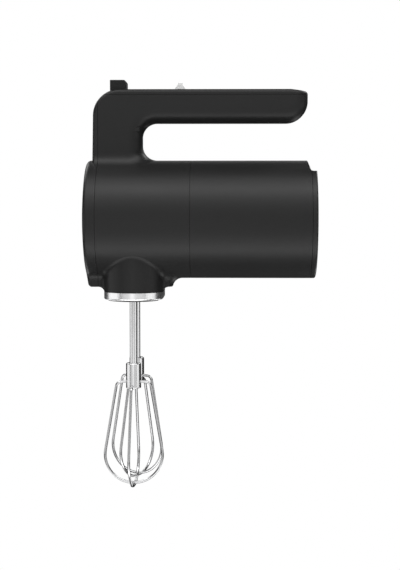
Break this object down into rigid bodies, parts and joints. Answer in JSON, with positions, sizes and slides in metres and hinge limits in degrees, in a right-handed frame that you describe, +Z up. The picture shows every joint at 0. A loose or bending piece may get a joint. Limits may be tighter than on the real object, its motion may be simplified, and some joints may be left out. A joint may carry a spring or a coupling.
{
  "type": "hand mixer",
  "caption": "Cordless hand mixer with a round barrel, loop-front handle over an open finger gap, eject button, speed slider and lift-out wire beaters.",
  "frame": {"origin": "middle of the handle grip, on the mixer's middle plane", "axes": "+X to the rear along the motor's centre line, +Y to the right beater as held, +Z up along the beater shafts"},
  "size_m": [0.1983, 0.1006, 0.3462],
  "materials": {
    "body_graphite": "satin moulded ABS, dark graphite",
    "cover_graphite": "satin moulded ABS, dark graphite",
    "top_graphite": "satin moulded ABS, dark graphite",
    "rear_graphite": "satin moulded ABS, dark graphite",
    "chrome_ring": "polished chrome plating",
    "socket_black": "matt black plastic",
    "screw_steel": "zinc plated steel",
    "frame_nylon": "glass filled nylon",
    "bush_bronze": "sintered bronze",
    "can_steel": "zinc plated steel",
    "bell_plastic": "moulded plastic",
    "magnet": "ferrite",
    "carbon": "carbon",
    "case_black": "plain moulded plastic",
    "contact_brass": "tinned brass",
    "board_green": "circuit board laminate",
    "capacitor": "aluminium can",
    "chip_black": "moulded epoxy",
    "lead_red": "insulated wire",
    "spindle_steel": "turned steel",
    "armature_iron": "stacked electrical steel",
    "copper": "enamelled copper",
    "fan_white": "moulded plastic",
    "wheel_acetal": "moulded acetal",
    "polished_steel": "polished stainless steel",
    "button_black": "matt black plastic",
    "rod_acetal": "natural acetal",
    "spring_wire": "drawn spring wire",
    "knob_silver": "silver lacquer",
    "carriage_acetal": "black acetal",
    "cap_graphite": "satin moulded ABS, dark graphite",
    "cell_wrap": "shrink wrapped cell"
  },
  "bodies": {
    "housing": {"front_housing": "body_graphite", "front_cover": "cover_graphite", "handle_top_cover": "top_graphite", "rear_housing": "rear_graphite", "beater_ring": "chrome_ring", "beater_socket_plate": "socket_black", "socket_screws": "screw_steel", "gearbox_frame": "frame_nylon", "frame_screws": "screw_steel", "lower_spindle_bushes": "bush_bronze", "upper_spindle_bushes": "bush_bronze", "shaft_bushes": "bush_bronze", "motor_can": "can_steel", "motor_end_bell": "bell_plastic", "motor_magnets": "magnet", "motor_brushes": "carbon", "brush_holders": "bush_bronze", "motor_cradle": "frame_nylon", "cradle_screws": "screw_steel", "battery_bay_wall": "case_black", "bay_contact_blades": "contact_brass", "control_board": "board_green", "board_capacitors": "capacitor", "board_chips": "chip_black", "power_leads": "lead_red", "speed_board": "board_green", "speed_switch": "chip_black"},
    "rotor": {"motor_shaft": "spindle_steel", "worm": "spindle_steel", "armature": "armature_iron", "armature_windings": "copper", "commutator": "copper", "cooling_fan": "fan_white"},
    "left_drive": {"left_spindle": "spindle_steel", "left_worm_wheel": "wheel_acetal"},
    "right_drive": {"right_spindle": "spindle_steel", "right_worm_wheel": "wheel_acetal"},
    "left_ejector": {"left_ejector_pin": "spindle_steel"},
    "right_ejector": {"right_ejector_pin": "spindle_steel"},
    "left_beater": {"left_beater_shaft": "polished_steel", "left_beater_collar": "polished_steel", "left_beater_wide_wire": "polished_steel", "left_beater_narrow_wire": "polished_steel"},
    "right_beater": {"right_beater_shaft": "polished_steel", "right_beater_collar": "polished_steel", "right_beater_wide_wire": "polished_steel", "right_beater_narrow_wire": "polished_steel"},
    "eject": {"eject_button": "button_black", "eject_rod": "rod_acetal", "eject_spring": "spring_wire"},
    "speed_slider": {"speed_knob": "knob_silver", "slider_carriage": "carriage_acetal"},
    "battery": {"battery_case": "case_black", "battery_cap": "cap_graphite", "battery_cells": "cell_wrap", "pack_contact_clips": "contact_brass"}
  },
  "joints": [
    {"name": "left_spin", "type": "hinge", "parent": "housing", "child": "left_drive", "pos_m": [-0.077, -0.021, -0.0964], "axis": [0, 0, 1], "continuous": true},
    {"name": "right_spin", "type": "hinge", "parent": "housing", "child": "right_drive", "pos_m": [-0.077, 0.021, -0.0964], "axis": [0, 0, 1], "continuous": true},
    {"name": "rotor_spin", "type": "hinge", "parent": "housing", "child": "rotor", "pos_m": [-0.077, 0, -0.0964], "axis": [1, 0, 0], "continuous": true},
    {"name": "eject_press", "type": "slide", "parent": "housing", "child": "eject", "axis": [0, 0, -1], "range_m": [0, 0.007], "stiffness_N_per_m": 1200, "springref_m": -0.004, "deforming": ["eject_spring"]},
    {"name": "left_eject", "type": "slide", "parent": "left_drive", "child": "left_ejector", "axis": [0, 0, -1], "range_m": [0, 0.007]},
    {"name": "right_eject", "type": "slide", "parent": "right_drive", "child": "right_ejector", "axis": [0, 0, -1], "range_m": [0, 0.007]},
    {"name": "left_pull", "type": "slide", "parent": "left_ejector", "child": "left_beater", "axis": [0, 0, -1], "range_m": [0, 0.05]},
    {"name": "right_pull", "type": "slide", "parent": "right_ejector", "child": "right_beater", "axis": [0, 0, -1], "range_m": [0, 0.05]},
    {"name": "speed_slide", "type": "slide", "parent": "housing", "child": "speed_slider", "axis": [-1, 0, 0], "range_m": [0, 0.032]},
    {"name": "battery_pull", "type": "slide", "parent": "housing", "child": "battery", "axis": [1, 0, 0], "range_m": [0, 0.075]}
  ],
  "couplings": [
    {"joint": "right_spin", "follows": "left_spin", "ratio": -1},
    {"joint": "rotor_spin", "follows": "left_spin", "ratio": 26},
    {"joint": "left_eject", "follows": "eject_press", "ratio": 1},
    {"joint": "right_eject", "follows": "eject_press", "ratio": 1}
  ]
}
